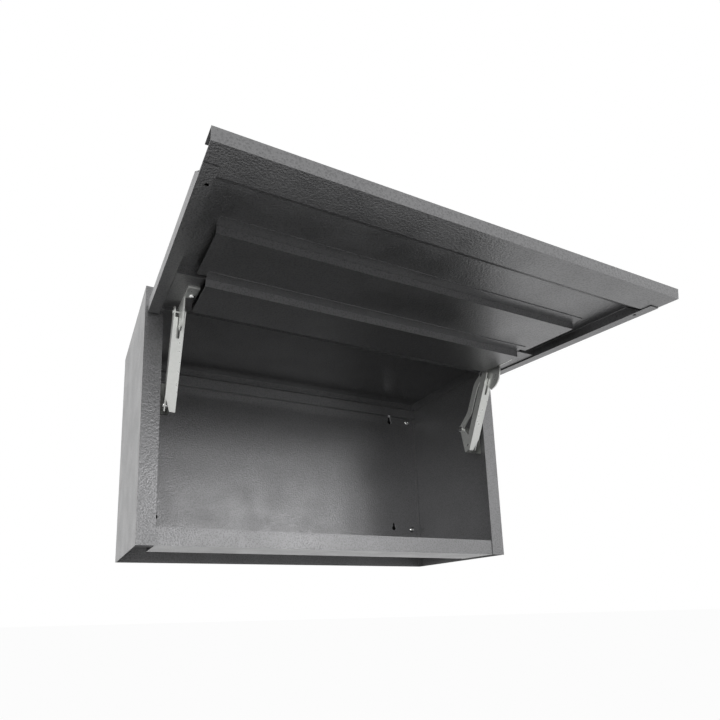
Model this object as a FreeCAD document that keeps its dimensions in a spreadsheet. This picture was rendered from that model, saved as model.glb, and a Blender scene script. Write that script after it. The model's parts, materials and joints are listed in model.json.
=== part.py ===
import FreeCAD, Part
import os
import re
import Sketcher

# A wall-hung workshop cabinet of folded sheet steel, with one lift-up door on a pair of
# folding stays. The origin is on the wall plane, in the middle of the four keyholes.
# X runs across, Y runs into the wall and Z is up. The door stands open, as it is stored.

doc = FreeCAD.newDocument("WorkshopCabinet")
sheet = doc.addObject("Spreadsheet::Sheet", "Sizes")


sizes = {
    # carcass
    "CabinetWidth": 712,
    "CabinetHeight": 424,
    "CabinetDepth": 300,
    "SheetThick": 1.2,
    "SheetGap": 0.3,
    "StileWidth": 28.5,
    "StileReturn": 13,
    "RailSetback": 1.5,
    "TopRailHeight": 24,
    "TopRailReturn": 12,
    "TopSideFlange": 22,
    "BottomRailHeight": 28.5,
    "BottomRailDepth": 90,
    "BottomRailHem": 7,
    "BottomRailLedge": 22,
    "FloorSetback": 0.8,
    "PanelFlange": 9,
    "BackFlange": 12,
    # keyholes in the back, which hang on the wall's hooks
    "KeyholeHeight": 94,
    "KeyholeDown": 56,
    "KeyholeInset": 71,
    "KeyholeRadius": 5.5,
    "KeyholeSlot": 6,
    "KeyholeRise": 13,
    # screws in the corners of the back
    "WallScrewHeight": 92.5,
    "WallScrewDown": 50.5,
    "WallScrewInset": 18.5,
    "WallHoleRadius": 3.3,
    "WallShankRadius": 3,
    "WallHeadRadius": 7,
    "WallHeadHeight": 3.5,
    # folded rail under the roof at the back
    "HangRailBand": 5,
    "HangRailSlope": 6,
    "HangRailFace": 22,
    "HangRailProud": 11,
    # folding stays, measured from the cabinet's side, front and top
    "ArmInset": 37,
    "ArmWidth": 18,
    "ArmThick": 2,
    "ArmFront": 8,
    "ArmRear": 7,
    "ArmTail": 9,
    "ArmNose": 8,
    "ArmWebEnd": 8,
    "ArmSlotLong": 40,
    "ArmChamferWide": 9,
    "ArmChamferLong": 27,
    "ArmLong": 147.54,
    "ArmOpen": 116.14,
    "ArmPivotIn": 19.91,
    "ArmPivotDown": 193.08,
    "LinkPivotIn": 44.24,
    "LinkPivotDown": 149.41,
    "LinkHalfWide": 6.5,
    "LinkFirstBend": 38,
    "LinkFirstOut": 6.5,
    "LinkLastLeg": 24.16,
    "LinkSecondIn": 8,
    "LinkBendRadius": 40,
    "LinkEyeRadius": 7.5,
    "LinkEyeBore": 4.1,
    "EyeShiftAlong": 1.1,
    "EyeShiftAcross": 1.5,
    "PlateInset": 45,
    "PlateThick": 2.5,
    "PlateGap": 0.5,
    "PivotRadius": 2.5,
    "EyePinRadius": 2,
    "RunningGap": 0.05,
    "RivetHeadRadius": 4.8,
    "RivetHeadHeight": 1.6,
    "EyeHeadRadius": 5.4,
    "EyeHeadHeight": 1.5,
    "SideGap": 0.3,
    # hinge base, folded from one strip
    "BaseLean": 11.6,
    "BaseLowLip": 5.5,
    "BaseHighLip": 6.5,
    "BaseFlange": 26,
    # door, measured from its hinge edge and from its outer face
    "DoorInset": 3.7,
    "DoorDroop": 5,
    "DoorShort": 8.5,
    "DoorThick": 15.5,
    "DoorSheet": 1.0,
    "HingeEdgeDeep": 7,
    "PivotDown": 41.56,
    "PivotDeep": 25.59,
    "EyeDown": 31.14,
    "EyeDeep": 22.29,
    "SlantLong": 24,
    "GutterLong": 48.5,
    "LipLong": 27,
    "ReturnWide": 17.3,
    "ReturnLap": 40,
    "ReturnHoleLap": 8,
    "ReturnHoleIn": 11.5,
    "ReturnHoleRadius": 2.5,
    "HatInset": 45,
    "HatStart": 150,
    "HatFront": 260,
    "HatDeep": 12.5,
    "HatFoot": 20,
    "HeaderInset": 59.3,
    "HeaderStart": 51,
    "HeaderFront": 144,
    "HeaderDeep": 25,
    "HeaderLap": 21,
    "SaddleInset": 18.3,
    "SaddleStart": 54,
    "SaddleDeep": 14.5,
    "BracketStart": 79,
    "BracketEnd": 113,
    "BracketWide": 17,
    "BracketEar": 7.5,
    "BracketFan": 37,
    "BracketScrewDown": 87,
    "BracketScrewIn": 10.7,
    "BracketHeadRadius": 5,
    "BracketHeadHeight": 3.4,
    "BracketShankRadius": 2.5,
}
for row, (alias, number) in enumerate(sizes.items()):
    sheet.set("A%d" % (row + 1), str(number))
    sheet.setAlias("A%d" % (row + 1), alias)
doc.recompute()

# the cabinet's bottom and top, and the lines that the folded sheets share
keySpanX = "(CabinetWidth - 2 * KeyholeInset)"
keySpanZ = "(CabinetHeight - KeyholeHeight - KeyholeDown)"
bottom = f"(-KeyholeHeight - {keySpanZ} / 2)"
top = f"({bottom} + CabinetHeight)"
front = "(-CabinetDepth)"
railFace = f"({front} + RailSetback)"
railTop = f"({bottom} + BottomRailHeight - SheetThick)"
halfInside = "(CabinetWidth / 2 - SheetThick - SheetGap)"
stileInside = "(StileWidth + SheetGap)"
backSkin = "(-SheetThick - SheetGap)"

# the stays' four pivots in the open pose: A and B on the base, C and D on the door
aY = "(ArmPivotIn - CabinetDepth)"
aZ = f"({top} - ArmPivotDown)"
bY = "(LinkPivotIn - CabinetDepth)"
bZ = f"({top} - LinkPivotDown)"
doorTurn = "(180 + DoorDroop)"
doorY = f"({aY} + ArmLong * cos(ArmOpen) - PivotDown * cos{doorTurn} + PivotDeep * sin{doorTurn})"
doorZ = f"({aZ} + ArmLong * sin(ArmOpen) - PivotDown * sin{doorTurn} - PivotDeep * cos{doorTurn})"
dY = f"({doorY} + EyeDown * cos{doorTurn} - EyeDeep * sin{doorTurn})"
dZ = f"({doorZ} + EyeDown * sin{doorTurn} + EyeDeep * cos{doorTurn})"
linkLong = f"(sqrt(({dY} - {bY})^2 + ({dZ} - {bZ})^2))"
linkTurn = f"(atan2({dZ} - {bZ}; {dY} - {bY}))"


def sized(text):
    return re.sub(r"\b([A-Z]\w+)", r"Sizes.\1", text)


def value(text):
    number = sheet.evalExpression(text)
    return float(getattr(number, "Value", number))


def bind(thing, name, text):
    thing.setExpression(name, sized(text))


# the turn that lays a sketch in a plane, and the way that the plane faces
planes = {
    "XY": (FreeCAD.Rotation(), FreeCAD.Vector(0, 0, 1), "z"),
    "XZ": (FreeCAD.Rotation(FreeCAD.Vector(1, 0, 0), 90), FreeCAD.Vector(0, 1, 0), "y"),
    "YZ": (FreeCAD.Rotation(FreeCAD.Vector(1, 1, 1), 120), FreeCAD.Vector(1, 0, 0), "x"),
}


# ties one end of a line or the centre of a circle to a pair of sizes
def pin(sketch, item, place, point):
    for kind, text in zip(("DistanceX", "DistanceY"), point):
        rule = Sketcher.Constraint(kind, -1, 1, item, place, value(text))
        bind(sketch, "Constraints[%d]" % sketch.addConstraint(rule), text)


# straight lines through the points, each corner tied to its sizes
def lines(sketch, points, closed):
    spots = [FreeCAD.Vector(value(across), value(along), 0) for across, along in points]
    count = len(points) if closed else len(points) - 1
    for number in range(count):
        following = (number + 1) % len(points)
        sketch.addGeometry(Part.LineSegment(spots[number], spots[following]))
    for number in range(count if closed else count - 1):
        joined = (number + 1) % count
        sketch.addConstraint(Sketcher.Constraint("Coincident", number, 2, joined, 1))
    for number in range(count):
        pin(sketch, number, 1, points[number])
    if not closed:
        pin(sketch, count - 1, 2, points[-1])


def circle(sketch, centre, radius):
    spot = FreeCAD.Vector(value(centre[0]), value(centre[1]), 0)
    item = sketch.addGeometry(Part.Circle(spot, FreeCAD.Vector(0, 0, 1), value(radius)))
    pin(sketch, item, 3, centre)
    rule = sketch.addConstraint(Sketcher.Constraint("Radius", item, value(radius)))
    bind(sketch, "Constraints[%d]" % rule, radius)


def body(name):
    made = doc.addObject("PartDesign::Body", name)
    made.Label = name
    return made


# a sketch on one of the body's own planes, moved along the plane's normal
def sketchOn(part, plane, away="0"):
    sketch = part.newObject("Sketcher::SketchObject", part.Name + "Sketch")
    origin = [item for item in part.Origin.OriginFeatures if item.Role == plane + "_Plane"][0]
    sketch.AttachmentSupport = [(origin, "")]
    sketch.MapMode = "FlatFace"
    bind(sketch, "AttachmentOffset.Base.z", away)
    return sketch


def pad(part, sketch, long, back=False):
    made = part.newObject("PartDesign::Pad", part.Name + "Pad")
    made.Profile = sketch
    made.Reversed = back
    bind(made, "Length", long)
    sketch.Visibility = False
    doc.recompute()
    return made


# cuts the sketch through the body, half of the depth to each side of the sketch
def pocket(part, sketch, depth):
    before = part.Shape.Volume
    made = part.newObject("PartDesign::Pocket", part.Name + "Pocket")
    made.Profile = sketch
    made.Midplane = True
    bind(made, "Length", depth)
    doc.recompute()
    if part.Shape.Volume > before - 0.01:
        raise ValueError(part.Name + " lost nothing to its pocket")


def holes(part, plane, centres, radius, depth, away="0"):
    sketch = sketchOn(part, plane, away)
    for centre in centres:
        circle(sketch, centre, radius)
    pocket(part, sketch, depth)


def window(part, plane, points, depth, away="0"):
    sketch = sketchOn(part, plane, away)
    lines(sketch, points, True)
    pocket(part, sketch, depth)


# a point inside the sheet, half its thickness to the right of the first line's middle
def rightOf(path, points, thick):
    tail = FreeCAD.Vector(value(points[0][0]), value(points[0][1]), 0)
    head = FreeCAD.Vector(value(points[1][0]), value(points[1][1]), 0)
    ahead = (head - tail).normalize()
    spot = (tail + head) / 2 + FreeCAD.Vector(ahead.y, -ahead.x, 0) * (value(thick) / 2)
    return Part.Vertex(path.Placement.multVec(spot))


# a sheet folded along the points, which lies on the right of the way they run
def folded(name, plane, points, thick, long, start="0"):
    turn, way, letter = planes[plane]
    path = doc.addObject("Sketcher::SketchObject", name + "Path")
    path.Placement = FreeCAD.Placement(FreeCAD.Vector(), turn)
    lines(path, points, False)
    bind(path, "Placement.Base." + letter, start)
    skin = doc.addObject("Part::Offset2D", name + "Skin")
    skin.Source = path
    skin.Mode = "Skin"
    skin.Join = "Arc"
    skin.Fill = True
    bind(skin, "Value", thick)
    doc.recompute()
    if skin.Shape.distToShape(rightOf(path, points, thick))[0] > 0.001:
        bind(skin, "Value", f"-({thick})")
    run = doc.addObject("Part::Extrusion", name + "Run")
    run.Base = skin
    run.DirMode = "Custom"
    run.Dir = way
    run.Solid = True
    bind(run, "LengthFwd", long)
    made = body(name)
    made.BaseFeature = run
    doc.recompute()
    return made


# rounds the edges that stand square to the plane at the given corners
def soften(part, plane, corners, radius):
    letters = {"XY": "xy", "XZ": "xz", "YZ": "yz"}[plane]
    spots = [(value(across), value(along)) for across, along in corners]
    chosen = []
    for number, edge in enumerate(part.Tip.Shape.Edges):
        ends = [(getattr(v.Point, letters[0]), getattr(v.Point, letters[1])) for v in edge.Vertexes]
        for spot in spots:
            if all(abs(end[0] - spot[0]) + abs(end[1] - spot[1]) < 0.02 for end in ends):
                chosen.append("Edge%d" % (number + 1))
                break
    if len(chosen) < len(corners):
        raise ValueError("%s has %d edges for %d corners" % (part.Name, len(chosen), len(corners)))
    base = part.Tip
    made = part.newObject("PartDesign::Fillet", part.Name + "Fillet")
    made.Base = (base, chosen)
    bind(made, "Radius", radius)
    doc.recompute()


def place(part, x, y, z, turn=None):
    if turn:
        part.Placement = FreeCAD.Placement(FreeCAD.Vector(), FreeCAD.Rotation(FreeCAD.Vector(1, 0, 0), 1))
        bind(part, "Placement.Rotation.Angle", turn)
    bind(part, "Placement.Base.x", x)
    bind(part, "Placement.Base.y", y)
    bind(part, "Placement.Base.z", z)


# the outline turned once round one of its own axes
def spun(name, plane, outline, axis):
    made = body(name)
    sketch = sketchOn(made, plane)
    lines(sketch, outline, True)
    wheel = made.newObject("PartDesign::Revolution", name + "Spun")
    wheel.Profile = sketch
    wheel.ReferenceAxis = (sketch, [axis])
    wheel.Angle = 360
    doc.recompute()
    return made


# a round pin along X with its own steps, each given by where it ends and its radius
def turned(name, steps, side):
    outline = [(steps[0][0], "0")]
    for number in range(1, len(steps)):
        outline.append((steps[number - 1][0], steps[number][1]))
        outline.append((steps[number][0], steps[number][1]))
    outline.append((steps[-1][0], "0"))
    if side < 0:
        outline = [("-(%s)" % across, along) for across, along in outline]
    return spun(name, "XY", outline, "H_Axis")


# points seen from the cabinet's side, mirrored for the right-hand piece
def across(points, side):
    if side > 0:
        return points
    return [("-(%s)" % x, y) for x, y in reversed(points)]


def sideX(side, text="0"):
    return f"-CabinetWidth / 2 + {text}" if side > 0 else f"CabinetWidth / 2 - ({text})"


# wall, front stile and its return in one sheet
def sidePanel(name, side):
    path = [
        ("StileWidth", f"{front} + StileReturn"),
        ("StileWidth", front),
        ("0", front),
        ("0", "0"),
    ]
    made = folded(name, "XY", across(path, side), "SheetThick", "CabinetHeight")
    place(made, sideX(side), "0", bottom)


# a flat sheet that spans the walls, notched round the stiles and turned down along the walls
def spanPanel(name, path, height, flange):
    made = folded(name, "YZ", path, "SheetThick", f"2 * {halfInside}", f"-{halfInside}")
    notchEnd = f"({front} + StileReturn + SheetGap)"
    rear = f"({backSkin} - BackFlange)"
    for way in ("-", ""):
        edge = f"{way}(CabinetWidth / 2 - {stileInside})"
        wall = f"{way}(CabinetWidth / 2)"
        notch = [(edge, f"{front} - 1"), (wall, f"{front} - 1"), (wall, notchEnd), (edge, notchEnd)]
        window(made, "XY", notch, "2 * CabinetHeight + 4 * TopRailHeight")
        edge = f"{way}({halfInside} - SheetThick - SheetGap)"
        notch = [(edge, rear), (wall, rear), (wall, "1"), (edge, "1")]
        window(made, "XY", notch, "2 * CabinetHeight + 4 * TopRailHeight")
        sketch = sketchOn(made, "XY", f"{height} - {flange}")
        inner = f"{way}({halfInside} - SheetThick)"
        outer = f"{way}{halfInside}"
        lines(sketch, [(outer, notchEnd), (inner, notchEnd), (inner, rear), (outer, rear)], True)
        pad(made, sketch, f"{flange} - SheetThick / 2")
    return made


def topPanel():
    path = [
        (f"{railFace} + TopRailReturn", f"{top} - TopRailHeight"),
        (railFace, f"{top} - TopRailHeight"),
        (railFace, top),
        (backSkin, top),
        (backSkin, f"{top} - PanelFlange"),
    ]
    spanPanel("top_panel", path, top, "TopSideFlange")


def bottomPanel():
    floor = f"({railTop} + SheetThick)"
    path = [
        (f"{railFace} + FloorSetback", floor),
        (backSkin, floor),
        (backSkin, f"{floor} - PanelFlange"),
    ]
    spanPanel("bottom_panel", path, floor, "PanelFlange")


def bottomRail():
    rear = f"({railFace} + BottomRailDepth)"
    path = [
        (rear, f"{bottom} + BottomRailHem"),
        (rear, bottom),
        (railFace, bottom),
        (railFace, railTop),
        (f"{railFace} + BottomRailLedge", railTop),
    ]
    half = f"(CabinetWidth / 2 - {stileInside})"
    folded("bottom_rail", "YZ", path, "SheetThick", f"2 * {half}", f"-{half}")


# the back, with flanges turned forward along the walls, four keyholes and four screw holes
def backPanel():
    path = [
        (f"-{halfInside}", "-BackFlange"),
        (f"-{halfInside}", "0"),
        (halfInside, "0"),
        (halfInside, "-BackFlange"),
    ]
    made = folded("back_panel", "XY", path, "SheetThick", "CabinetHeight", bottom)
    depth = "4 * SheetThick"
    for x in (f"-{keySpanX} / 2", f"{keySpanX} / 2"):
        for z in (f"-{keySpanZ} / 2", f"{keySpanZ} / 2"):
            holes(made, "XZ", [(x, z)], "KeyholeRadius", depth)
            left = f"{x} - KeyholeSlot / 2"
            right = f"{x} + KeyholeSlot / 2"
            high = f"{z} + KeyholeRise"
            window(made, "XZ", [(left, z), (right, z), (right, high), (left, high)], depth)
            soften(made, "XZ", [(left, high), (right, high)], "KeyholeSlot / 2.01")
    spots = [(wallScrewX(x), wallScrewZ(z)) for x in (-1, 1) for z in (-1, 1)]
    holes(made, "XZ", spots, "WallHoleRadius", depth)


def wallScrewX(way):
    return f"({way} * (CabinetWidth / 2 - WallScrewInset))"


def wallScrewZ(way):
    return f"({top} - WallScrewDown)" if way > 0 else f"({bottom} + WallScrewHeight)"


def wallScrew(name, x, z):
    crown = "(SheetThick + WallHeadHeight)"
    outline = [
        ("0", "0"),
        ("WallShankRadius", "0"),
        ("WallShankRadius", "-SheetThick"),
        ("WallHeadRadius", "-SheetThick"),
        ("WallHeadRadius", f"-{crown}"),
        ("0", f"-{crown}"),
    ]
    made = spun(name, "XY", outline, "V_Axis")
    place(made, x, "0", z)


# two bands under the roof that stand forward of the back
def hangingRail():
    high = f"({top} - PanelFlange - SheetGap)"
    shoulder = f"({high} - HangRailBand)"
    knee = f"({shoulder} - HangRailSlope)"
    low = f"({knee} - HangRailFace)"
    proud = "(-SheetThick - HangRailProud)"
    path = [
        ("-SheetThick", low),
        (proud, low),
        (proud, knee),
        ("-2 * SheetThick", shoulder),
        ("-2 * SheetThick", high),
    ]
    half = f"({halfInside} - SheetThick - SheetGap)"
    made = folded("hanging_rail", "YZ", path, "SheetThick", f"2 * {half}", f"-{half}")
    return made


# a strip folded from the wall across to the cheek that carries pivots A and B; its own
# axes start at A, with the fold leaning back like the cheek's rear edge
def hingeBase(name, side):
    run = "(LinkPivotIn - ArmPivotIn)"
    rise = "(ArmPivotDown - LinkPivotDown)"
    overB = f"({run} * cos(BaseLean) - {rise} * sin(BaseLean))"
    upB = f"({run} * sin(BaseLean) + {rise} * cos(BaseLean))"
    back = f"({overB} + BaseHighLip)"
    toe = "(-BaseLowLip)"
    low = "(-BaseLowLip)"
    high = f"({upB} + BaseHighLip)"
    path = [
        ("SheetThick", f"{back} - BaseFlange"),
        ("SheetThick", back),
        ("(PlateInset + PlateThick)", back),
        ("(PlateInset + PlateThick)", toe),
    ]
    made = folded(name, "XY", across(path, side), "PlateThick", f"{high} - {low}", low)
    heel = f"({overB} - BaseHighLip)"
    bite = [
        (f"{toe} - 1", "BaseLowLip"),
        (toe, "BaseLowLip"),
        (heel, f"{upB} - BaseHighLip / 2"),
        (heel, f"{high} + 1"),
        (f"{toe} - 1", f"{high} + 1"),
    ]
    sign = "" if side > 0 else "-"
    middle = f"{sign}(PlateInset + PlateThick / 2)"
    window(made, "YZ", bite, "4 * PlateThick", middle)
    soften(made, "YZ", [(toe, low)], "BaseLowLip * 0.98")
    soften(made, "YZ", [(heel, high)], "BaseHighLip * 0.98")
    holes(made, "YZ", [("0", "0"), (overB, upB)], "PivotRadius", "4 * PlateThick", middle)
    place(made, sideX(side), aY, aZ, "-BaseLean")


# a channel whose web faces front; the door's fan plate runs through the slot in the web
def mainArm(name, side):
    outer = "ArmInset"
    inner = "(ArmInset + ArmWidth)"
    path = [(outer, "-ArmRear"), (outer, "ArmFront"), (inner, "ArmFront"), (inner, "-ArmRear")]
    long = "ArmLong + ArmTail + ArmNose"
    made = folded(name, "XZ", across(path, side), "ArmThick", long, "-ArmTail")
    sign = "" if side > 0 else "-"
    webMiddle = "ArmFront - ArmThick / 2"
    slotStart = "(ArmLong - ArmSlotLong)"
    webEnd = "(ArmLong - ArmWebEnd)"
    far = "(ArmLong + ArmNose + 1)"
    slotLow = f"{sign}(PlateInset - 1.2)"
    slotHigh = f"{sign}(PlateInset + PlateThick + 1.2)"
    slot = [(slotLow, slotStart), (slotHigh, slotStart), (slotHigh, far), (slotLow, far)]
    window(made, "XY", slot, "1.6 * ArmThick", webMiddle)
    leftEdge = f"{sign}({outer} + ArmThick)"
    rightEdge = f"{sign}({inner} - ArmThick)"
    end = [(leftEdge, webEnd), (rightEdge, webEnd), (rightEdge, far), (leftEdge, far)]
    window(made, "XY", end, "1.6 * ArmThick", webMiddle)
    corner = [
        (f"{sign}({outer} - 1)", "-ArmTail + ArmChamferLong"),
        (f"{sign}({outer} + ArmChamferWide)", "-ArmTail - 1"),
        (f"{sign}({outer} - 1)", "-ArmTail - 1"),
    ]
    window(made, "XY", corner, "1.6 * ArmThick", webMiddle)
    nose = "(ArmLong + ArmNose)"
    soften(made, "YZ", [(nose, "ArmFront"), (nose, "-ArmRear")], "ArmRear * 0.98")
    soften(made, "YZ", [("-ArmTail", "-ArmRear")], "ArmRear / 2")
    bore = "PivotRadius + RunningGap"
    holes(made, "YZ", [("0", "0")], bore, "4 * (ArmInset + ArmWidth)")
    holes(made, "YZ", [("ArmLong", "0")], bore, "2 * ArmThick", f"{sign}(ArmInset + ArmThick / 2)")
    place(made, sideX(side), aY, aZ, "ArmOpen")


# a flat bar with two easy bends, a close bore at B and a wide eye at D
def link(name, side):
    made = body(name)
    spine = [
        ("0", "0"),
        ("LinkFirstBend", "LinkFirstOut"),
        (f"{linkLong} - LinkLastLeg", "-LinkSecondIn"),
        (linkLong, "0"),
    ]
    outer = [(along, f"{height} + LinkHalfWide") for along, height in spine]
    inner = [(along, f"{height} - LinkHalfWide") for along, height in spine]
    sketch = sketchOn(made, "YZ")
    lines(sketch, inner + outer[::-1], True)
    pad(made, sketch, "PlateThick", side < 0)
    soften(made, "YZ", inner[1:3] + outer[1:3], "LinkBendRadius")
    eye = (f"{linkLong} + EyeShiftAlong", "-EyeShiftAcross")
    for centre, radius in ((("0", "0"), "LinkEyeRadius"), (eye, "LinkEyeRadius + 0.5")):
        sketch = sketchOn(made, "YZ")
        circle(sketch, centre, radius)
        pad(made, sketch, "PlateThick", side < 0)
    holes(made, "YZ", [("0", "0")], "PivotRadius + RunningGap", "4 * PlateThick")
    holes(made, "YZ", [eye], "LinkEyeBore", "4 * PlateThick")
    place(made, sideX(side, "(PlateInset + PlateThick + PlateGap)"), bY, bZ, linkTurn)


linkIn = "(PlateInset + 2 * PlateThick + PlateGap)"


# each pivot pin fills the bore of the plate that carries it and runs loose in the other one
def armPin(name, side):
    steps = [
        ("ArmInset - SideGap - RivetHeadHeight", "0"),
        ("ArmInset - SideGap", "RivetHeadRadius"),
        ("ArmInset + ArmWidth + SideGap", "PivotRadius"),
    ]
    place(turned(name, steps, side), sideX(side), aY, aZ)


def linkPin(name, side):
    steps = [
        ("PlateInset", "0"),
        (f"{linkIn} + SideGap", "PivotRadius"),
        (f"{linkIn} + SideGap + RivetHeadHeight", "RivetHeadRadius"),
    ]
    place(turned(name, steps, side), sideX(side), bY, bZ)


# pin C ends flush with the fan plate, because the link sweeps past it
def doorPin(name, side):
    steps = [
        ("ArmInset - SideGap - RivetHeadHeight", "0"),
        ("ArmInset - SideGap", "RivetHeadRadius"),
        ("PlateInset + PlateThick", "PivotRadius"),
    ]
    cY = f"{aY} + ArmLong * cos(ArmOpen)"
    cZ = f"{aZ} + ArmLong * sin(ArmOpen)"
    place(turned(name, steps, side), sideX(side), cY, cZ)


def eyePin(name, side):
    steps = [
        ("PlateInset", "0"),
        (f"{linkIn} + SideGap", "EyePinRadius"),
        (f"{linkIn} + SideGap + EyeHeadHeight", "EyeHeadRadius"),
    ]
    place(turned(name, steps, side), sideX(side), dY, dZ)


doorHalf = "(CabinetWidth / 2 - DoorInset)"
doorLong = "(CabinetHeight - DoorShort)"
faceLong = f"({doorLong} - GutterLong - SlantLong)"
innerFace = "DoorSheet"


def onDoor(part, x="0"):
    place(part, x, doorY, doorZ, doorTurn)


# face, slanted shoulder, finger gutter and lip in one sheet, with a flange at the hinge edge
def doorSkin():
    path = [
        ("DoorSheet", "HingeEdgeDeep"),
        ("DoorSheet", "DoorSheet"),
        (faceLong, "DoorSheet"),
        (f"{faceLong} + SlantLong", "DoorThick"),
        (doorLong, "DoorThick"),
        (doorLong, "0"),
        (f"{doorLong} - LipLong", "0"),
    ]
    made = folded("door_skin", "YZ", path, "DoorSheet", f"2 * {doorHalf}", f"-{doorHalf}")
    onDoor(made)


# an angle along each side: the flange stands on the skin and the return turns inward
def doorReturn(name, side):
    deep = "(DoorThick + DoorSheet + SheetGap)"
    path = [("0", "DoorSheet"), ("0", deep), ("ReturnWide", deep)]
    start = "(DoorSheet + SheetGap)"
    long = f"({faceLong} + ReturnLap)"
    made = folded(name, "XZ", across(path, side), "DoorSheet", f"{long} - {start}", start)
    cut = [
        (f"{faceLong} - 2 * SheetGap", "0"),
        (f"{faceLong} + SlantLong - 2 * SheetGap", "DoorThick + SheetGap"),
        (f"{long} + 1", "DoorThick + SheetGap"),
        (f"{long} + 1", "0"),
    ]
    window(made, "YZ", cut, "4 * ReturnWide")
    sign = "" if side > 0 else "-"
    spot = [(f"{sign}ReturnHoleIn", f"{faceLong} + ReturnHoleLap")]
    holes(made, "XY", spot, "ReturnHoleRadius", "4 * DoorSheet", deep)
    onDoor(made, sideX(side, "DoorInset"))


def doorStiffener():
    path = [
        ("HatStart", innerFace),
        ("HatStart", "HatDeep"),
        ("HatFront", "HatDeep"),
        ("HatFront", f"{innerFace} + DoorSheet"),
        ("HatFront + HatFoot", f"{innerFace} + DoorSheet"),
    ]
    half = f"({doorHalf} - HatInset)"
    onDoor(folded("door_stiffener", "YZ", path, "DoorSheet", f"2 * {half}", f"-{half}"))


# the deeper channel by the hinge edge laps over the stiffener
def doorHeader():
    lap = "(HatDeep + DoorSheet)"
    path = [
        ("HeaderStart", innerFace),
        ("HeaderStart", "HeaderDeep"),
        ("HeaderFront", "HeaderDeep"),
        ("HeaderFront", lap),
        ("HeaderFront + HeaderLap", lap),
    ]
    half = f"({doorHalf} - HeaderInset)"
    onDoor(folded("door_header", "YZ", path, "DoorSheet", f"2 * {half}", f"-{half}"))


def hingeSaddle(name, side):
    path = [
        ("SaddleStart", innerFace),
        ("SaddleStart", "SaddleDeep"),
        ("HeaderFront", "SaddleDeep"),
        ("HeaderFront", innerFace),
    ]
    wide = "(HeaderInset - SaddleInset - SheetGap)"
    start = "0" if side > 0 else f"-{wide}"
    made = folded(name, "YZ", path, "DoorSheet", wide, start)
    onDoor(made, sideX(side, "(DoorInset + SaddleInset)"))


# a foot on the saddle and a fan plate that stands from it, with pivots C and D
def doorBracket(name, side):
    made = body(name)
    sketch = sketchOn(made, "YZ")
    foot = "(SaddleDeep + PlateThick)"
    rear = "(EyeDown - BracketEar)"
    fan = [
        (rear, "SaddleDeep"),
        ("BracketEnd", "SaddleDeep"),
        ("BracketEnd", foot),
        ("PivotDown + BracketFan", "PivotDeep - 0.2 * BracketFan"),
        ("PivotDown + BracketFan", "PivotDeep + 0.1 * BracketFan"),
        ("PivotDown + 0.93 * BracketFan", "PivotDeep + 0.5 * BracketFan"),
        ("PivotDown + 0.7 * BracketFan", "PivotDeep + 0.8 * BracketFan"),
        ("PivotDown + 0.31 * BracketFan", "PivotDeep + 0.95 * BracketFan"),
        (rear, "EyeDeep + BracketEar"),
    ]
    lines(sketch, fan, True)
    pad(made, sketch, "PlateThick", side < 0)
    soften(made, "YZ", fan[4:7], "0.65 * BracketFan")
    soften(made, "YZ", fan[-1:], "BracketEar * 0.98")
    sign = "" if side > 0 else "-"
    sketch = sketchOn(made, "XY", "SaddleDeep")
    edge = f"{sign}BracketWide"
    near = f"{sign}PlateThick / 2"
    plate = [
        (near, "BracketStart"),
        (edge, "BracketStart"),
        (edge, "BracketEnd"),
        (near, "BracketEnd"),
    ]
    lines(sketch, plate, True)
    pad(made, sketch, "PlateThick")
    middle = f"{sign}PlateThick / 2"
    holes(made, "YZ", [("PivotDown", "PivotDeep")], "PivotRadius", "2 * PlateThick", middle)
    holes(made, "YZ", [("EyeDown", "EyeDeep")], "EyePinRadius", "2 * PlateThick", middle)
    spot = [(f"{sign}BracketScrewIn", "BracketScrewDown")]
    holes(made, "XY", spot, "BracketShankRadius", "4 * PlateThick", "SaddleDeep")
    onDoor(made, sideX(side, "PlateInset"))


def bracketScrew(name, side):
    foot = "(SaddleDeep + PlateThick)"
    outline = [
        ("0", "SaddleDeep"),
        ("BracketShankRadius", "SaddleDeep"),
        ("BracketShankRadius", foot),
        ("BracketHeadRadius", foot),
        ("BracketHeadRadius", f"{foot} + BracketHeadHeight"),
        ("0", f"{foot} + BracketHeadHeight"),
    ]
    made = spun(name, "XZ", outline, "V_Axis")
    down = "BracketScrewDown"
    x = sideX(side, "(PlateInset + BracketScrewIn)")
    place(made, x, f"{doorY} + {down} * cos{doorTurn}", f"{doorZ} + {down} * sin{doorTurn}", doorTurn)


topPanel()
bottomPanel()
bottomRail()
backPanel()
hangingRail()
for height, way in (("lower", -1), ("upper", 1)):
    wallScrew(f"{height}_left_screw", wallScrewX(-1), wallScrewZ(way))
    wallScrew(f"{height}_right_screw", wallScrewX(1), wallScrewZ(way))
doorSkin()
doorStiffener()
doorHeader()
for hand, side in (("left", 1), ("right", -1)):
    sidePanel(f"{hand}_side_panel", side)
    hingeBase(f"{hand}_hinge_base", side)
    armPin(f"{hand}_arm_pin", side)
    linkPin(f"{hand}_link_pin", side)
    mainArm(f"{hand}_main_arm", side)
    link(f"{hand}_link", side)
    doorReturn(f"{hand}_door_return", side)
    hingeSaddle(f"{hand}_hinge_saddle", side)
    doorBracket(f"{hand}_door_bracket", side)
    bracketScrew(f"{hand}_bracket_screw", side)
    doorPin(f"{hand}_door_pin", side)
    eyePin(f"{hand}_eye_pin", side)
doc.recompute()

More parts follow.
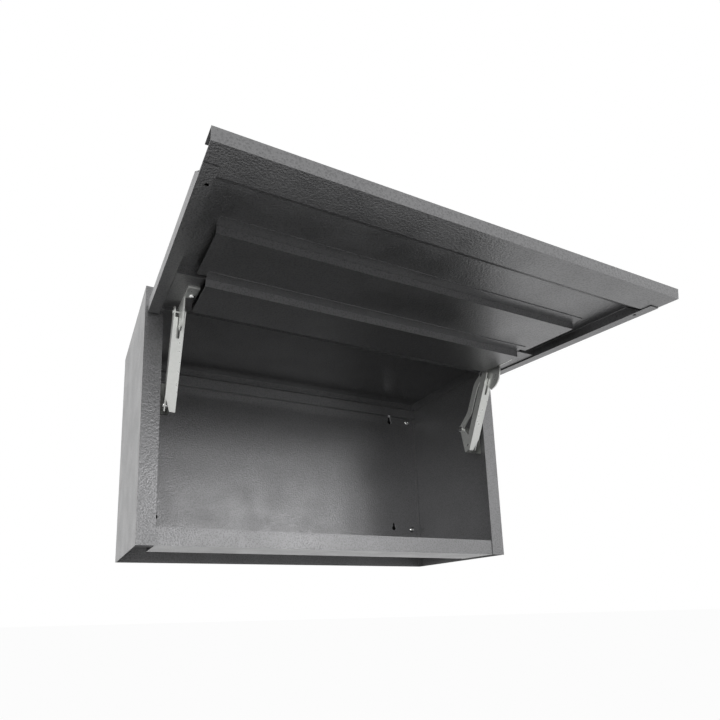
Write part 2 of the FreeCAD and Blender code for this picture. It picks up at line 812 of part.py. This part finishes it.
for item in doc.Objects:
    if "Invalid" in item.State or "Error" in item.State:
        raise ValueError(item.Label + " failed")
pieces = [item for item in doc.Objects if item.TypeId == "PartDesign::Body"]
for piece in pieces:
    if piece.Shape.isNull() or not piece.Shape.isValid() or len(piece.Shape.Solids) != 1:
        raise ValueError(piece.Label + " has no valid single solid")
os.makedirs("parts", exist_ok=True)
for piece in pieces:
    piece.Shape.exportStep("parts/%s.step" % piece.Label)
    print(piece.Label, round(piece.Shape.Volume), piece.Shape.BoundBox)
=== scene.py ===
import json
import math

import bmesh
import bpy
from mathutils import Matrix, Vector


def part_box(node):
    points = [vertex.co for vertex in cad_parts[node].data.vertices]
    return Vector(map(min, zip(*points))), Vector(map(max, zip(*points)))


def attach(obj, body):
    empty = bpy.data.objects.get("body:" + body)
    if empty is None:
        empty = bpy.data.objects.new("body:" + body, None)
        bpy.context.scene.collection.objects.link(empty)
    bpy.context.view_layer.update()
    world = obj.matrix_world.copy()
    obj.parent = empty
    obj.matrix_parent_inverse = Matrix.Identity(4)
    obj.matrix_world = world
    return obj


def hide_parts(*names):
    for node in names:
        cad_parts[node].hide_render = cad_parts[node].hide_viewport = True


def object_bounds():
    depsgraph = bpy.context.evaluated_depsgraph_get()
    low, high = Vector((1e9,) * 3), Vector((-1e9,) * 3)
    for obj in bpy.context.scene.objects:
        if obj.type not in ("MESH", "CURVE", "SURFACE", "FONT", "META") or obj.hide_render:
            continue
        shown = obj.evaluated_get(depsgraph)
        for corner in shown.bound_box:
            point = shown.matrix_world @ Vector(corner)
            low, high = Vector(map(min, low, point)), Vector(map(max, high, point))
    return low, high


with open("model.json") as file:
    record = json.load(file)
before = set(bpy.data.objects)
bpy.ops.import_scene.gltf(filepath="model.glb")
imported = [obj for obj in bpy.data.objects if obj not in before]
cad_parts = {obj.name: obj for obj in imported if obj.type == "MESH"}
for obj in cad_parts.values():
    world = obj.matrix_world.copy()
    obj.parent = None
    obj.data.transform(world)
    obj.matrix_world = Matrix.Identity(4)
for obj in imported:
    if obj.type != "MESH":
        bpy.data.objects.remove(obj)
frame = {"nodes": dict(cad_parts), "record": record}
cadLow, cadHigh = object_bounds()
nodes = frame["nodes"]
print("frame loaded:", len(nodes), "nodes")


def linear(code):
    # sRGB hex to linear colour
    channels = [int(code[i:i + 2], 16) / 255 for i in (1, 3, 5)]
    return [c / 12.92 if c <= 0.04045 else ((c + 0.055) / 1.055) ** 2.4 for c in channels] + [1.0]


def addNode(tree, kind, settings=None, inputs=None, **links):
    # one node, its settings, its input values, and what feeds its inputs
    node = tree.nodes.new(kind)
    for name, number in (settings or {}).items():
        setattr(node, name, number)
    for name, number in (inputs or {}).items():
        node.inputs[name].default_value = number
    for name, source in links.items():
        tree.links.new(source, node.inputs[name.replace("_", " ")])
    return node


def newMaterial(name):
    material = bpy.data.materials.new(name)
    material.use_nodes = True
    tree = material.node_tree
    tree.nodes.clear()
    output = tree.nodes.new("ShaderNodeOutputMaterial")
    return material, tree, output


powderCoat = {
    "colour": "#868687",        # the aluminium-grey flake in the coat
    "pit": "#707071",           # the darker colour where the coat lies lowest, in the pits
    "flake": 0.68,              # share of the light that comes back as from metal flake
    "grain": 0.0028,            # metres from one hammered pit to the next
    "pitDepth": 0.00034,
    "roughness": (0.31, 0.38),
    "mottle": 0.05,             # metres across a soft cloud in the coat
}


def makePowderCoat(name, look):
    # hammertone powder coat: baked paint full of aluminium flake, so it shines broadly like dull metal,
    # with small smooth pits that break the shine into grain
    material, tree, output = newMaterial(name)
    place = addNode(tree, "ShaderNodeTexCoord").outputs["Object"]
    pits = addNode(tree, "ShaderNodeTexVoronoi", {"feature": "SMOOTH_F1"},
                   {"Scale": 1 / look["grain"], "Smoothness": 0.6}, Vector=place)
    dust = addNode(tree, "ShaderNodeTexNoise", None,
                   {"Scale": 1.6 / look["grain"], "Detail": 2.0, "Roughness": 0.6}, Vector=place)
    cloud = addNode(tree, "ShaderNodeTexNoise", None,
                    {"Scale": 1 / look["mottle"], "Detail": 3.0}, Vector=place)
    mixed = addNode(tree, "ShaderNodeMath", {"operation": "MULTIPLY_ADD"}, {1: 0.5})
    tree.links.new(dust.outputs["Fac"], mixed.inputs[0])
    tree.links.new(pits.outputs["Distance"], mixed.inputs[2])
    # the colour turns darker where the coat lies lowest, in the pits, and with the dust noise
    tint = addNode(tree, "ShaderNodeMapRange", None,
                   {"From Min": 0.3, "From Max": 0.8, "To Min": 0.0, "To Max": 1.0}, Value=mixed.outputs[0])
    colour = addNode(tree, "ShaderNodeMix", {"data_type": "RGBA"},
                     {6: linear(look["pit"]), 7: linear(look["colour"])})
    tree.links.new(tint.outputs[0], colour.inputs[0])
    low, high = look["roughness"]
    rough = addNode(tree, "ShaderNodeMapRange", None,
                    {"From Min": 0.35, "From Max": 0.65, "To Min": low, "To Max": high},
                    Value=cloud.outputs["Fac"])
    bump = addNode(tree, "ShaderNodeBump", None, {"Strength": 0.7, "Distance": look["pitDepth"]},
                   Height=mixed.outputs[0])
    shader = addNode(tree, "ShaderNodeBsdfPrincipled", None, {"Metallic": look["flake"]},
                     Base_Color=colour.outputs[2], Roughness=rough.outputs[0], Normal=bump.outputs[0])
    tree.links.new(shader.outputs[0], output.inputs[0])
    return material


zincPlate = {
    "colour": "#ecedea",
    "spangle": "#d8dad6",
    "patch": 0.006,             # metres across one patch of the plating
    "streak": 0.0004,           # metres between rolling lines
    "streakDepth": 0.00002,
    "metal": 0.5,               # the rest is the dull film over the zinc
    "roughness": (0.26, 0.42),
}


def makeZinc(name, look):
    # zinc-plated pressed steel: pale metal with soft patches and faint rolling lines
    material, tree, output = newMaterial(name)
    place = addNode(tree, "ShaderNodeTexCoord").outputs["Object"]
    patch = addNode(tree, "ShaderNodeTexNoise", None,
                    {"Scale": 1 / look["patch"], "Detail": 3.0}, Vector=place)
    stretched = addNode(tree, "ShaderNodeMapping", None, {"Scale": (1.0, 0.05, 0.05)}, Vector=place)
    streak = addNode(tree, "ShaderNodeTexNoise", None, {"Scale": 1 / look["streak"], "Detail": 1.0},
                     Vector=stretched.outputs[0])
    colour = addNode(tree, "ShaderNodeMix", {"data_type": "RGBA"},
                     {6: linear(look["colour"]), 7: linear(look["spangle"])})
    tree.links.new(patch.outputs["Fac"], colour.inputs[0])
    low, high = look["roughness"]
    rough = addNode(tree, "ShaderNodeMapRange", None,
                    {"From Min": 0.3, "From Max": 0.7, "To Min": low, "To Max": high},
                    Value=patch.outputs["Fac"])
    bump = addNode(tree, "ShaderNodeBump", None, {"Strength": 0.3, "Distance": look["streakDepth"]},
                   Height=streak.outputs["Fac"])
    shader = addNode(tree, "ShaderNodeBsdfPrincipled", None, {"Metallic": look["metal"]},
                     Base_Color=colour.outputs[2], Roughness=rough.outputs[0], Normal=bump.outputs[0])
    tree.links.new(shader.outputs[0], output.inputs[0])
    return material


brightSteel = {
    "colour": "#cfd0ce",
    "spangle": "#b8b9b8",
    "patch": 0.003,
    "streak": 0.0003,
    "streakDepth": 0.00002,
    "metal": 1.0,
    "roughness": (0.18, 0.30),
}

coat = makePowderCoat("charcoal_hammertone_powder_coat", powderCoat)
zinc = makeZinc("zinc_plated_steel", zincPlate)
steel = makeZinc("bright_zinc_plated_steel", brightSteel)
finishes = {"powder_coat": coat, "zinc_plate": zinc, "screw_steel": steel}
for part in frame["record"]["subparts"]:
    mesh = nodes[part["node"]].data
    mesh.materials.clear()
    mesh.materials.append(finishes[part["material_slot"]])

# the door's own frame: its hinge edge, and its droop below level
doorFrame = {"y": -0.30592, "z": 0.16148, "droop": 5.0}


def onDoor(across, down, deep):
    # a point on the door, from its middle line, its hinge edge and its outer face, in metres
    turn = math.radians(180 + doorFrame["droop"])
    return Vector((across,
                   doorFrame["y"] + down * math.cos(turn) - deep * math.sin(turn),
                   doorFrame["z"] + down * math.sin(turn) + deep * math.cos(turn)))


def finishPiece(piece, body, slot, *nodesReplaced):
    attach(piece, body)
    if nodesReplaced:
        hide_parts(*nodesReplaced)
    return piece


def newPiece(name, shape, material):
    mesh = bpy.data.meshes.new(name)
    bmesh.ops.recalc_face_normals(shape, faces=shape.faces)
    shape.to_mesh(mesh)
    shape.free()
    mesh.materials.append(material)
    piece = bpy.data.objects.new(name, mesh)
    bpy.context.scene.collection.objects.link(piece)
    return piece


returnLeg = {
    "inset": 0.3353,            # metres from the door's middle to the leg's inner face
    "thick": 0.001,
    "bend": 0.0012,             # the soft bend where the leg meets the skin
    "start": 0.0018,
    "face": 0.3424,             # where the shoulder starts, along the door
    "shoulder": 0.0240,
    "skin": 0.0012,             # metres from the outer face to the leg's root, clear of the skin
    "deep": 0.0157,
    "slant": 0.96,              # share of the shoulder's slope that the leg takes
    "short": 0.0008,            # how far the leg stops short of the shoulder
    "rings": 5,
}


def makeReturnLegs(look):
    # the inner leg of the box fold along each side of the door, cut on the slant of the shoulder
    shape = bmesh.new()
    low, high, rings = look["skin"], look["deep"], look["rings"]
    ends = (look["face"] - look["short"], look["face"] + look["shoulder"] * look["slant"] - look["short"])
    for side in (-1, 1):
        outline = [(look["inset"] * side, high), ((look["inset"] + look["thick"]) * side, high),
                   ((look["inset"] + look["thick"]) * side, low)]
        for step in range(rings + 1):
            # the bend flares out on to the skin as a quarter round
            turn = math.radians(90 * step / rings)
            reach = look["bend"] * (1 - math.sin(turn))
            outline.append(((look["inset"] - reach) * side, low + look["bend"] * (1 - math.cos(turn))))
        near, far = [], []
        for across, deep in outline:
            share = (deep - low) / (high - low)
            near.append(shape.verts.new(onDoor(across, look["start"], deep)))
            far.append(shape.verts.new(onDoor(across, ends[0] + (ends[1] - ends[0]) * share, deep)))
        count = len(outline)
        for spot in range(count):
            shape.faces.new((near[spot], near[(spot + 1) % count], far[(spot + 1) % count], far[spot]))
        shape.faces.new(near)
        shape.faces.new(far[::-1])
    return finishPiece(newPiece("door_return_legs", shape, coat), "door", "powder_coat")


makeReturnLegs(returnLeg)
print("return legs made")


def newTree(name, inputs):
    # a Geometry Nodes tree with named inputs: gives the tree, its two ends and the inputs' identifiers
    tree = bpy.data.node_groups.new(name, "GeometryNodeTree")
    tree.interface.new_socket("Geometry", in_out="INPUT", socket_type="NodeSocketGeometry")
    keys = {}
    for label, kind in inputs.items():
        keys[label] = tree.interface.new_socket(label, in_out="INPUT", socket_type=kind).identifier
    tree.interface.new_socket("Geometry", in_out="OUTPUT", socket_type="NodeSocketGeometry")
    return tree, tree.nodes.new("NodeGroupInput"), tree.nodes.new("NodeGroupOutput"), keys


def rivetTree():
    # low round heads on bare points, half sunk in the sheet
    size = "NodeSocketFloat"
    tree, given, done, keys = newTree("rivet_heads", {
        "Radius": size, "Height": size, "Facing": "NodeSocketRotation", "Finish": "NodeSocketMaterial"})
    ball = addNode(tree, "GeometryNodeMeshUVSphere", None, {"Segments": 20, "Rings": 10, "Radius": 1.0})
    squeeze = addNode(tree, "ShaderNodeCombineXYZ", None, None,
                      X=given.outputs["Radius"], Y=given.outputs["Radius"], Z=given.outputs["Height"])
    head = addNode(tree, "GeometryNodeTransform", None, None,
                   Geometry=ball.outputs["Mesh"], Scale=squeeze.outputs[0])
    spots = addNode(tree, "GeometryNodeMeshToPoints", None, None, Mesh=given.outputs["Geometry"])
    laid = addNode(tree, "GeometryNodeInstanceOnPoints", None, None, Points=spots.outputs[0],
                   Instance=head.outputs[0], Rotation=given.outputs["Facing"])
    real = addNode(tree, "GeometryNodeRealizeInstances", None, None, Geometry=laid.outputs[0])
    coated = addNode(tree, "GeometryNodeSetMaterial", None, None, Geometry=real.outputs[0],
                     Material=given.outputs["Finish"])
    tree.links.new(coated.outputs[0], done.inputs[0])
    return tree, keys


def screwTree():
    # domed heads with a cross recess on bare points, each on its own short shank
    size = "NodeSocketFloat"
    tree, given, done, keys = newTree("cross_head_screws", {
        "Radius": size, "Height": size, "Recess Long": size, "Recess Wide": size, "Recess Deep": size,
        "Shank Radius": size, "Shank Long": size,
        "Facing": "NodeSocketRotation", "Turn": "NodeSocketRotation", "Finish": "NodeSocketMaterial"})
    sizes = given.outputs
    ball = addNode(tree, "GeometryNodeMeshUVSphere", None, {"Segments": 40, "Rings": 20, "Radius": 1.0})
    squeeze = addNode(tree, "ShaderNodeCombineXYZ", None, None,
                      X=sizes["Radius"], Y=sizes["Radius"], Z=sizes["Height"])
    dome = addNode(tree, "GeometryNodeTransform", None, None,
                   Geometry=ball.outputs["Mesh"], Scale=squeeze.outputs[0])
    # the half below the seat is cut away
    block = addNode(tree, "GeometryNodeMeshCube", None, {"Size": (0.1, 0.1, 0.1)})
    sunk = addNode(tree, "GeometryNodeTransform", None, {"Translation": (0, 0, -0.05)},
                   Geometry=block.outputs["Mesh"])
    barSize = addNode(tree, "ShaderNodeCombineXYZ", None, None,
                      X=sizes["Recess Long"], Y=sizes["Recess Wide"], Z=sizes["Recess Deep"])
    barPlace = addNode(tree, "ShaderNodeCombineXYZ", None, None, Z=sizes["Height"])
    bar = addNode(tree, "GeometryNodeMeshCube", None, None, Size=barSize.outputs[0])
    bars = []
    for quarter in (0, math.pi / 2):
        turned = addNode(tree, "GeometryNodeTransform", None, {"Rotation": (0, 0, quarter)},
                         Geometry=bar.outputs["Mesh"], Translation=barPlace.outputs[0])
        bars.append(turned.outputs[0])
    cut = addNode(tree, "GeometryNodeMeshBoolean", {"operation": "DIFFERENCE", "solver": "EXACT"})
    tree.links.new(dome.outputs[0], cut.inputs["Mesh 1"])
    for tool in [sunk.outputs[0]] + bars:
        tree.links.new(tool, cut.inputs["Mesh 2"])
    rod = addNode(tree, "GeometryNodeMeshCylinder", None, {"Vertices": 24},
                  Radius=sizes["Shank Radius"], Depth=sizes["Shank Long"])
    drop = addNode(tree, "ShaderNodeMath", {"operation": "MULTIPLY"}, {1: -0.499})
    tree.links.new(sizes["Shank Long"], drop.inputs[0])
    dropPlace = addNode(tree, "ShaderNodeCombineXYZ", None, None, Z=drop.outputs[0])
    shank = addNode(tree, "GeometryNodeTransform", None, None, Geometry=rod.outputs["Mesh"],
                    Translation=dropPlace.outputs[0])
    whole = addNode(tree, "GeometryNodeMeshBoolean", {"operation": "UNION", "solver": "EXACT"})
    for part in (cut.outputs["Mesh"], shank.outputs[0]):
        tree.links.new(part, whole.inputs["Mesh 2"])
    spun = addNode(tree, "GeometryNodeTransform", None, None, Geometry=whole.outputs["Mesh"],
                   Rotation=sizes["Turn"])
    spots = addNode(tree, "GeometryNodeMeshToPoints", None, None, Mesh=sizes["Geometry"])
    laid = addNode(tree, "GeometryNodeInstanceOnPoints", None, None, Points=spots.outputs[0],
                   Instance=spun.outputs[0], Rotation=sizes["Facing"])
    real = addNode(tree, "GeometryNodeRealizeInstances", None, None, Geometry=laid.outputs[0])
    coated = addNode(tree, "GeometryNodeSetMaterial", None, None,
                     Geometry=real.outputs[0], Material=sizes["Finish"])
    tree.links.new(coated.outputs[0], done.inputs[0])
    return tree, keys


def grow(name, points, built, values):
    # runs a tree on bare points and keeps the result as one plain mesh
    tree, keys = built
    seed = bpy.data.meshes.new(name + "_points")
    seed.from_pydata([tuple(point) for point in points], [], [])
    piece = bpy.data.objects.new(name, seed)
    bpy.context.scene.collection.objects.link(piece)
    modifier = piece.modifiers.new("grow", "NODES")
    modifier.node_group = tree
    for label, number in values.items():
        modifier[keys[label]] = number
    bpy.context.view_layer.update()
    ready = piece.evaluated_get(bpy.context.evaluated_depsgraph_get())
    mesh = bpy.data.meshes.new_from_object(ready)
    piece.modifiers.clear()
    piece.data = mesh
    mesh.name = name
    return piece


rivets = rivetTree()
screws = screwTree()

# spot rivets where the folded sheets are joined, in metres: sides by the stiles, back's flanges, roof
rivetLook = {
    "Radius": 0.0026,
    "Height": 0.0009,
    "wall": 0.3548,
    "flange": 0.3533,
    "onWall": [(-0.256, 0.167), (-0.263, 0.167), (-0.256, -0.031),
               (-0.263, -0.031), (-0.256, -0.170), (-0.263, -0.170)],
    "onFlange": [(-0.008, 0.152), (-0.008, 0.143), (-0.008, -0.1405), (-0.008, -0.1462)],
    "roof": 0.1918,
    "onRoof": [(-0.306, -0.042), (-0.164, -0.047), (0.164, -0.047), (0.306, -0.042)],
}


def makeRivets(look):
    rows = {}
    for way, hand in ((-1, "left"), (1, "right")):
        spots = [(way * look["wall"], y, z) for y, z in look["onWall"]]
        spots += [(way * look["flange"], y, z) for y, z in look["onFlange"]]
        rows[hand + "_wall_rivets"] = (spots, (0, math.radians(90), 0))
    rows["roof_rivets"] = ([(x, y, look["roof"]) for x, y in look["onRoof"]], (0, 0, 0))
    for name, (spots, facing) in rows.items():
        piece = grow(name, spots, rivets, {"Radius": look["Radius"], "Height": look["Height"],
                                           "Facing": facing, "Finish": coat})
        finishPiece(piece, "cabinet", "powder_coat")


makeRivets(rivetLook)

wallScrewLook = {"Radius": 0.0070, "Height": 0.0036, "Recess Long": 0.0062, "Recess Wide": 0.0012,
                 "Recess Deep": 0.0044, "Shank Radius": 0.0030, "Shank Long": 0.0012}
bracketScrewLook = {"Radius": 0.0050, "Height": 0.0034, "Recess Long": 0.0050, "Recess Wide": 0.0010,
                    "Recess Deep": 0.0040, "Shank Radius": 0.0025, "Shank Long": 0.0025}
# degrees that each kind was left turned, and where the bracket screws sit along and into the door
screwSeat = {"wallTurn": 20, "bracketTurn": 35, "down": 0.087, "deep": 0.017}


def makeScrews():
    # the wall screws face the room and the bracket screws face down from the open door
    names = ["lower_left_screw", "lower_right_screw", "upper_left_screw", "upper_right_screw"]
    spots = []
    for name in names:
        low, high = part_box(name)
        spots.append(((low.x + high.x) / 2, -wallScrewLook["Shank Long"], (low.z + high.z) / 2))
    values = dict(wallScrewLook, Facing=(math.radians(90), 0, 0), Finish=steel,
                  Turn=(0, 0, math.radians(screwSeat["wallTurn"])))
    finishPiece(grow("wall_screws", spots, screws, values), "cabinet", "screw_steel", *names)
    names = ["left_bracket_screw", "right_bracket_screw"]
    spots = []
    for name in names:
        low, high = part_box(name)
        spots.append(onDoor((low.x + high.x) / 2, screwSeat["down"], screwSeat["deep"]))
    droop = math.radians(180 + doorFrame["droop"])
    values = dict(bracketScrewLook, Facing=(droop, 0, 0), Finish=steel,
                  Turn=(0, 0, math.radians(screwSeat["bracketTurn"])))
    finishPiece(grow("bracket_screws", spots, screws, values), "door", "screw_steel", *names)


makeScrews()
print("rivets and screws made")

stageLook = {
    "floorBelow": 1.25,         # metres from the cabinet down to the floor
    "floorWide": 400.0,
    "colour": "#e6e6e6",        # as the camera, metal and glass see it
    "bounce": "#3c3c3c",        # painted shade: the dark colour that diffuse light from it takes, which keeps the undersides in shade
    "glow": 0.97,
    "wall": "#0c0c0c",          # painted shade: what shows through the keyholes
    "wallEdge": 0.02,           # metres that its patch stays inside the back
    "wallBehind": 0.002,
}


def stageRays(tree):
    # 1 for every ray that looks at the stage: the camera's own, and those that metal and glass send on
    rays = addNode(tree, "ShaderNodeLightPath").outputs
    direct = addNode(tree, "ShaderNodeMath", {"operation": "MAXIMUM"})
    tree.links.new(rays["Is Camera Ray"], direct.inputs[0])
    tree.links.new(rays["Is Transmission Ray"], direct.inputs[1])
    shown = addNode(tree, "ShaderNodeMath", {"operation": "MAXIMUM"})
    tree.links.new(direct.outputs[0], shown.inputs[0])
    tree.links.new(rays["Is Glossy Ray"], shown.inputs[1])
    return shown.outputs[0]


def makeStagePaper():
    # matt studio paper, which glows to every ray that looks at the stage
    material, tree, output = newMaterial("pale_studio_paper")
    place = addNode(tree, "ShaderNodeTexCoord").outputs["Object"]
    grain = addNode(tree, "ShaderNodeTexNoise", None, {"Scale": 400.0, "Detail": 2.0}, Vector=place)
    bump = addNode(tree, "ShaderNodeBump", None, {"Strength": 0.05, "Distance": 0.0002},
                   Height=grain.outputs["Fac"])
    seen = stageRays(tree)
    # painted shade: to diffuse rays the paper takes the dark bounce colour, so little light comes up on to
    # the undersides
    tint = addNode(tree, "ShaderNodeMix", {"data_type": "RGBA"},
                   {6: linear(stageLook["bounce"]), 7: linear(stageLook["colour"])})
    tree.links.new(seen, tint.inputs[0])
    paper = addNode(tree, "ShaderNodeBsdfDiffuse", None, None, Color=tint.outputs[2], Normal=bump.outputs[0])
    glow = addNode(tree, "ShaderNodeEmission", None, {"Color": (1, 1, 1, 1)})
    share = addNode(tree, "ShaderNodeMath", {"operation": "MULTIPLY"}, {1: stageLook["glow"]})
    tree.links.new(seen, share.inputs[0])
    mix = addNode(tree, "ShaderNodeMixShader")
    tree.links.new(share.outputs[0], mix.inputs[0])
    tree.links.new(paper.outputs[0], mix.inputs[1])
    tree.links.new(glow.outputs[0], mix.inputs[2])
    tree.links.new(mix.outputs[0], output.inputs[0])
    return material


def makeKeyholeShadeSheet():
    # painted shade: a dark wall patch close behind the back, which stands in for the shade in the keyholes,
    # shows only through them and is clear from behind
    material, tree, output = newMaterial("painted_keyhole_shade")
    paint = addNode(tree, "ShaderNodeBsdfDiffuse", None, {"Color": linear(stageLook["wall"])})
    clear = addNode(tree, "ShaderNodeBsdfTransparent")
    side = addNode(tree, "ShaderNodeNewGeometry").outputs["Backfacing"]
    mix = addNode(tree, "ShaderNodeMixShader", None, None, Fac=side)
    tree.links.new(paint.outputs[0], mix.inputs[1])
    tree.links.new(clear.outputs[0], mix.inputs[2])
    tree.links.new(mix.outputs[0], output.inputs[0])
    return material


def addStage(name, corners, material):
    mesh = bpy.data.meshes.new(name)
    shape = bmesh.new()
    shape.faces.new([shape.verts.new(corner) for corner in corners])
    shape.to_mesh(mesh)
    shape.free()
    mesh.materials.append(material)
    sheet = bpy.data.objects.new(name, mesh)
    bpy.context.scene.collection.objects.link(sheet)
    return sheet


half = stageLook["floorWide"] / 2
ground = cadLow.z - stageLook["floorBelow"]
addStage("floor", [(-half, -half, ground), (half, -half, ground),
                   (half, half, ground), (-half, half, ground)], makeStagePaper())
backLow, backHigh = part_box("back_panel")
edge, behind = stageLook["wallEdge"], stageLook["wallBehind"]
patch = addStage("painted_keyhole_shade_sheet", [(backLow.x + edge, behind, backLow.z + edge),
                                (backHigh.x - edge, behind, backLow.z + edge),
                                (backHigh.x - edge, behind, backHigh.z - edge),
                                (backLow.x + edge, behind, backHigh.z - edge)], makeKeyholeShadeSheet())
# the patch casts no shadow and bounced light passes it: it is painted shade for the camera alone
patch.visible_shadow = False
patch.visible_diffuse = False
patch.visible_glossy = False

worldLook = {
    "white": 1.0,               # the background to the camera, and where metal or glass shows it
    "fill": 0.12,               # what it sends to dull surfaces
}


def makeWorld(look):
    world = bpy.data.worlds.new("studio")
    bpy.context.scene.world = world
    world.use_nodes = True
    tree = world.node_tree
    tree.nodes.clear()
    strength = addNode(tree, "ShaderNodeMapRange", None, {"To Min": look["fill"], "To Max": look["white"]},
                       Value=stageRays(tree))
    sky = addNode(tree, "ShaderNodeBackground", None, {"Color": (1, 1, 1, 1)}, Strength=strength.outputs[0])
    output = addNode(tree, "ShaderNodeOutputWorld")
    tree.links.new(sky.outputs[0], output.inputs[0])


makeWorld(worldLook)

# soft boxes round the cabinet, each by its direction from straight in front, its size and its brightness
lampRing = {"centre": (0.0, -0.35, 0.0), "away": 3.2}
lamps = {
    "key": {"azimuth": 15, "elevation": 5, "wide": 1.71, "high": 0.40, "bright": 6.2},
    "rightLow": {"azimuth": 45, "elevation": 7, "wide": 1.70, "high": 0.60, "bright": 0.6},
    "rightHigh": {"azimuth": 75, "elevation": 30, "wide": 1.48, "high": 0.56, "bright": 1.2},
    "left": {"azimuth": -54, "elevation": 0, "wide": 1.71, "high": 1.0, "bright": 6.5},
    "bounce": {"azimuth": -40, "elevation": -25, "wide": 1.55, "high": 1.13, "bright": 1.7},
}


def addLamp(name, look):
    data = bpy.data.lights.new(name, "AREA")
    data.shape = "RECTANGLE"
    data.size = look["wide"]
    data.size_y = look["high"]
    data.energy = look["bright"] * math.pi * look["wide"] * look["high"]
    lamp = bpy.data.objects.new(name, data)
    bpy.context.scene.collection.objects.link(lamp)
    around, up = math.radians(look["azimuth"]), math.radians(look["elevation"])
    way = Vector((math.sin(around) * math.cos(up), -math.cos(around) * math.cos(up), math.sin(up)))
    lamp.location = Vector(lampRing["centre"]) + way * lampRing["away"]
    lamp.rotation_euler = (-way).to_track_quat("-Z", "Y").to_euler()


for name, look in lamps.items():
    addLamp(name, look)
print("stage and lamps made")

view = {
    "at": (-0.4601, -1.1859, -0.3366),
    "yaw": 0.4596,              # radians to the right of straight into the wall
    "pitch": 0.1965,            # radians up
    "roll": -0.0259,
    "lens": 28.45,
    "shiftX": 0.0337,
    "shiftY": 0.1928,
}


def addCamera(look):
    yaw, pitch, roll = look["yaw"], look["pitch"], look["roll"]
    ahead = Vector((math.sin(yaw) * math.cos(pitch), math.cos(yaw) * math.cos(pitch), math.sin(pitch)))
    level = Vector((math.cos(yaw), -math.sin(yaw), 0))
    upright = level.cross(ahead)
    right = level * math.cos(roll) + upright * math.sin(roll)
    up = upright * math.cos(roll) - level * math.sin(roll)
    data = bpy.data.cameras.new("camera")
    data.lens = look["lens"]
    data.sensor_width = 36
    data.shift_x = look["shiftX"]
    data.shift_y = look["shiftY"]
    data.clip_start = 0.01
    data.clip_end = 100
    camera = bpy.data.objects.new("camera", data)
    bpy.context.scene.collection.objects.link(camera)
    camera.matrix_world = Matrix.Translation(look["at"]) @ Matrix((right, up, -ahead)).transposed().to_4x4()
    bpy.context.scene.camera = camera


addCamera(view)
bpy.context.scene.view_settings.view_transform = "Standard"
print("camera placed")
